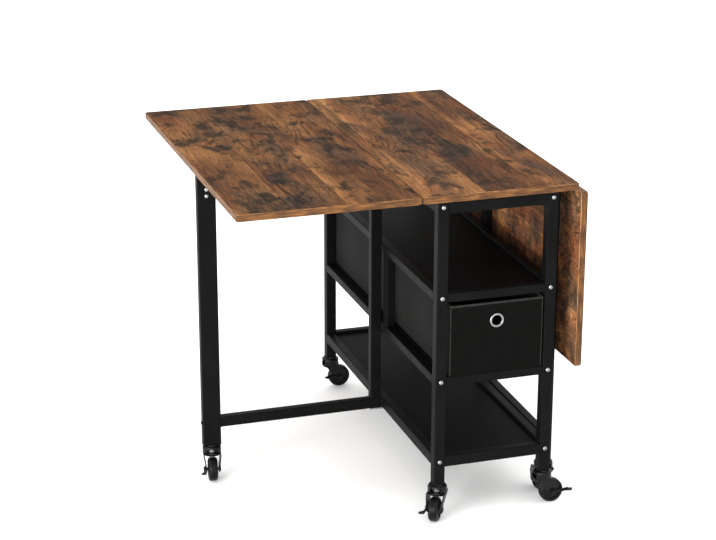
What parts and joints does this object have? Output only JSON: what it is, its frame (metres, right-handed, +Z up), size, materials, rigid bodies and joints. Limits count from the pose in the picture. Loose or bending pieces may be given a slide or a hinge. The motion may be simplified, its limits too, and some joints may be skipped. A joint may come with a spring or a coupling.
{
  "type": "folding dining table",
  "caption": "Wheeled dining table with drop leaves on swinging gate legs, open shelves and cloth drawers; stands with one leaf raised.",
  "frame": {"origin": "centre of the bounding box at floor level, as the table stands with its left leaf raised and its right leaf hanging", "axes": "+Z up, +X from the raised left leaf towards the hanging right leaf, -Y towards the near end with its drawer front"},
  "size_m": [0.7818, 0.8898, 0.75],
  "materials": {
    "laminated_board": "rustic brown laminate with an edge band, satin",
    "powder_coated_steel": "fine-textured black powder coat, low sheen",
    "black_shelf_board": "thin hardboard with a smooth black face, satin",
    "zinc_plated_steel": "bright zinc plate",
    "drawer_cloth": "stiffened non-woven cloth, dark grey, matte",
    "drawer_base_board": "cloth-covered base board, matte",
    "castor_housing": "black enamelled pressed steel, satin, on a zinc-plated axle",
    "castor_wheel": "dark grey moulded nylon, satin",
    "castor_lever": "black moulded nylon, satin"
  },
  "bodies": {
    "frame": {"near_end_frame": "powder_coated_steel", "far_end_frame": "powder_coated_steel", "left_top_rail": "powder_coated_steel", "right_top_rail": "powder_coated_steel", "left_upper_rail": "powder_coated_steel", "right_upper_rail": "powder_coated_steel", "left_lower_rail": "powder_coated_steel", "right_lower_rail": "powder_coated_steel", "left_bottom_rail": "powder_coated_steel", "right_bottom_rail": "powder_coated_steel", "left_middle_post": "powder_coated_steel", "right_middle_post": "powder_coated_steel", "upper_shelf": "black_shelf_board", "drawer_shelf": "black_shelf_board", "bottom_shelf": "black_shelf_board", "frame_bolts": "zinc_plated_steel", "board_screws": "zinc_plated_steel", "centre_board": "laminated_board", "fixed_hinge_plates": "zinc_plated_steel", "hinge_pins": "zinc_plated_steel", "gate_pivot_brackets": "zinc_plated_steel", "post_castor_stems": "zinc_plated_steel"},
    "left_leaf": {"left_leaf": "laminated_board", "left_leaf_hinge_plates": "zinc_plated_steel"},
    "right_leaf": {"right_leaf": "laminated_board", "right_leaf_hinge_plates": "zinc_plated_steel"},
    "left_gate": {"left_gate_frame": "powder_coated_steel", "left_gate_leg": "powder_coated_steel", "left_gate_bolts": "zinc_plated_steel", "left_gate_castor_stem": "zinc_plated_steel"},
    "right_gate": {"right_gate_frame": "powder_coated_steel", "right_gate_leg": "powder_coated_steel", "right_gate_bolts": "zinc_plated_steel", "right_gate_castor_stem": "zinc_plated_steel"},
    "near_drawer": {"near_drawer": "drawer_cloth", "near_drawer_base": "drawer_base_board", "near_drawer_eyelet": "zinc_plated_steel"},
    "far_drawer": {"far_drawer": "drawer_cloth", "far_drawer_base": "drawer_base_board", "far_drawer_eyelet": "zinc_plated_steel"},
    "near_left_castor_fork": {"near_left_castor_fork": "castor_housing"},
    "near_left_castor_wheel": {"near_left_castor_wheel": "castor_wheel"},
    "near_left_castor_brake": {"near_left_castor_brake": "castor_lever"},
    "near_right_castor_fork": {"near_right_castor_fork": "castor_housing"},
    "near_right_castor_wheel": {"near_right_castor_wheel": "castor_wheel"},
    "near_right_castor_brake": {"near_right_castor_brake": "castor_lever"},
    "far_left_castor_fork": {"far_left_castor_fork": "castor_housing"},
    "far_left_castor_wheel": {"far_left_castor_wheel": "castor_wheel"},
    "far_left_castor_brake": {"far_left_castor_brake": "castor_lever"},
    "far_right_castor_fork": {"far_right_castor_fork": "castor_housing"},
    "far_right_castor_wheel": {"far_right_castor_wheel": "castor_wheel"},
    "far_right_castor_brake": {"far_right_castor_brake": "castor_lever"},
    "left_gate_castor_fork": {"left_gate_castor_fork": "castor_housing"},
    "left_gate_castor_wheel": {"left_gate_castor_wheel": "castor_wheel"},
    "left_gate_castor_brake": {"left_gate_castor_brake": "castor_lever"},
    "right_gate_castor_fork": {"right_gate_castor_fork": "castor_housing"},
    "right_gate_castor_wheel": {"right_gate_castor_wheel": "castor_wheel"},
    "right_gate_castor_brake": {"right_gate_castor_brake": "castor_lever"}
  },
  "joints": [
    {"name": "left_leaf_hinge", "type": "hinge", "parent": "frame", "child": "left_leaf", "pos_m": [0.01686, 0, 0.73], "axis": [0, 1, 0], "range_deg": [0, 5]},
    {"name": "right_leaf_hinge", "type": "hinge", "parent": "frame", "child": "right_leaf", "pos_m": [0.37086, 0, 0.73], "axis": [0, -1, 0], "range_deg": [0, 90]},
    {"name": "left_gate_hinge", "type": "hinge", "parent": "frame", "child": "left_gate", "pos_m": [0.04136, -0.042, 0.123], "axis": [0, 0, -1], "range_deg": [0, 90]},
    {"name": "right_gate_hinge", "type": "hinge", "parent": "frame", "child": "right_gate", "pos_m": [0.34636, 0.042, 0.123], "axis": [0, 0, 1], "range_deg": [0, 2]},
    {"name": "near_drawer_slide", "type": "slide", "parent": "frame", "child": "near_drawer", "axis": [0, -1, 0], "range_m": [0, 0.28]},
    {"name": "far_drawer_slide", "type": "slide", "parent": "frame", "child": "far_drawer", "axis": [0, 1, 0], "range_m": [0, 0.28]},
    {"name": "near_left_castor_swivel", "type": "hinge", "parent": "frame", "child": "near_left_castor_fork", "pos_m": [0.06936, -0.4, 0.05642], "axis": [0, 0, 1], "continuous": true},
    {"name": "near_left_castor_roll", "type": "hinge", "parent": "near_left_castor_fork", "child": "near_left_castor_wheel", "pos_m": [0.05738, -0.41845, 0.0275], "axis": [0.8387, -0.5446, 0], "continuous": true},
    {"name": "near_left_castor_brake_press", "type": "hinge", "parent": "near_left_castor_fork", "child": "near_left_castor_brake", "pos_m": [0.05738, -0.41845, 0.0275], "axis": [0.8387, -0.5446, 0], "range_deg": [0, 20]},
    {"name": "near_right_castor_swivel", "type": "hinge", "parent": "frame", "child": "near_right_castor_fork", "pos_m": [0.31836, -0.4, 0.05642], "axis": [0, 0, 1], "range_deg": [-240, 10]},
    {"name": "near_right_castor_roll", "type": "hinge", "parent": "near_right_castor_fork", "child": "near_right_castor_wheel", "pos_m": [0.34036, -0.4, 0.0275], "axis": [0, 1, 0], "continuous": true},
    {"name": "near_right_castor_brake_press", "type": "hinge", "parent": "near_right_castor_fork", "child": "near_right_castor_brake", "pos_m": [0.34036, -0.4, 0.0275], "axis": [0, 1, 0], "range_deg": [0, 20]},
    {"name": "far_left_castor_swivel", "type": "hinge", "parent": "frame", "child": "far_left_castor_fork", "pos_m": [0.06936, 0.4, 0.05642], "axis": [0, 0, 1], "continuous": true},
    {"name": "far_left_castor_roll", "type": "hinge", "parent": "far_left_castor_fork", "child": "far_left_castor_wheel", "pos_m": [0.09136, 0.4, 0.0275], "axis": [0, 1, 0], "continuous": true},
    {"name": "far_left_castor_brake_press", "type": "hinge", "parent": "far_left_castor_fork", "child": "far_left_castor_brake", "pos_m": [0.09136, 0.4, 0.0275], "axis": [0, -1, 0], "range_deg": [0, 20]},
    {"name": "far_right_castor_swivel", "type": "hinge", "parent": "frame", "child": "far_right_castor_fork", "pos_m": [0.31836, 0.4, 0.05642], "axis": [0, 0, 1], "continuous": true},
    {"name": "far_right_castor_roll", "type": "hinge", "parent": "far_right_castor_fork", "child": "far_right_castor_wheel", "pos_m": [0.33034, 0.41845, 0.0275], "axis": [-0.8387, 0.5446, 0], "continuous": true},
    {"name": "far_right_castor_brake_press", "type": "hinge", "parent": "far_right_castor_fork", "child": "far_right_castor_brake", "pos_m": [0.33034, 0.41845, 0.0275], "axis": [-0.8387, 0.5446, 0], "range_deg": [0, 20]},
    {"name": "left_gate_castor_swivel", "type": "hinge", "parent": "left_gate", "child": "left_gate_castor_fork", "pos_m": [-0.35264, -0.042, 0.05642], "axis": [0, 0, 1], "continuous": true},
    {"name": "left_gate_castor_roll", "type": "hinge", "parent": "left_gate_castor_fork", "child": "left_gate_castor_wheel", "pos_m": [-0.35646, -0.06367, 0.0275], "axis": [0.9848, -0.1736, 0], "continuous": true},
    {"name": "left_gate_castor_brake_press", "type": "hinge", "parent": "left_gate_castor_fork", "child": "left_gate_castor_brake", "pos_m": [-0.35646, -0.06367, 0.0275], "axis": [0.9848, -0.1736, 0], "range_deg": [0, 20]},
    {"name": "right_gate_castor_swivel", "type": "hinge", "parent": "right_gate", "child": "right_gate_castor_fork", "pos_m": [0.34161, -0.35197, 0.05642], "axis": [0, 0, 1], "range_deg": [-115, 90]},
    {"name": "right_gate_castor_roll", "type": "hinge", "parent": "right_gate_castor_fork", "child": "right_gate_castor_wheel", "pos_m": [0.34188, -0.32997, 0.0275], "axis": [-0.9999, 0.012, 0], "continuous": true},
    {"name": "right_gate_castor_brake_press", "type": "hinge", "parent": "right_gate_castor_fork", "child": "right_gate_castor_brake", "pos_m": [0.34188, -0.32997, 0.0275], "axis": [-0.9999, 0.012, 0], "range_deg": [0, 20]}
  ]
}
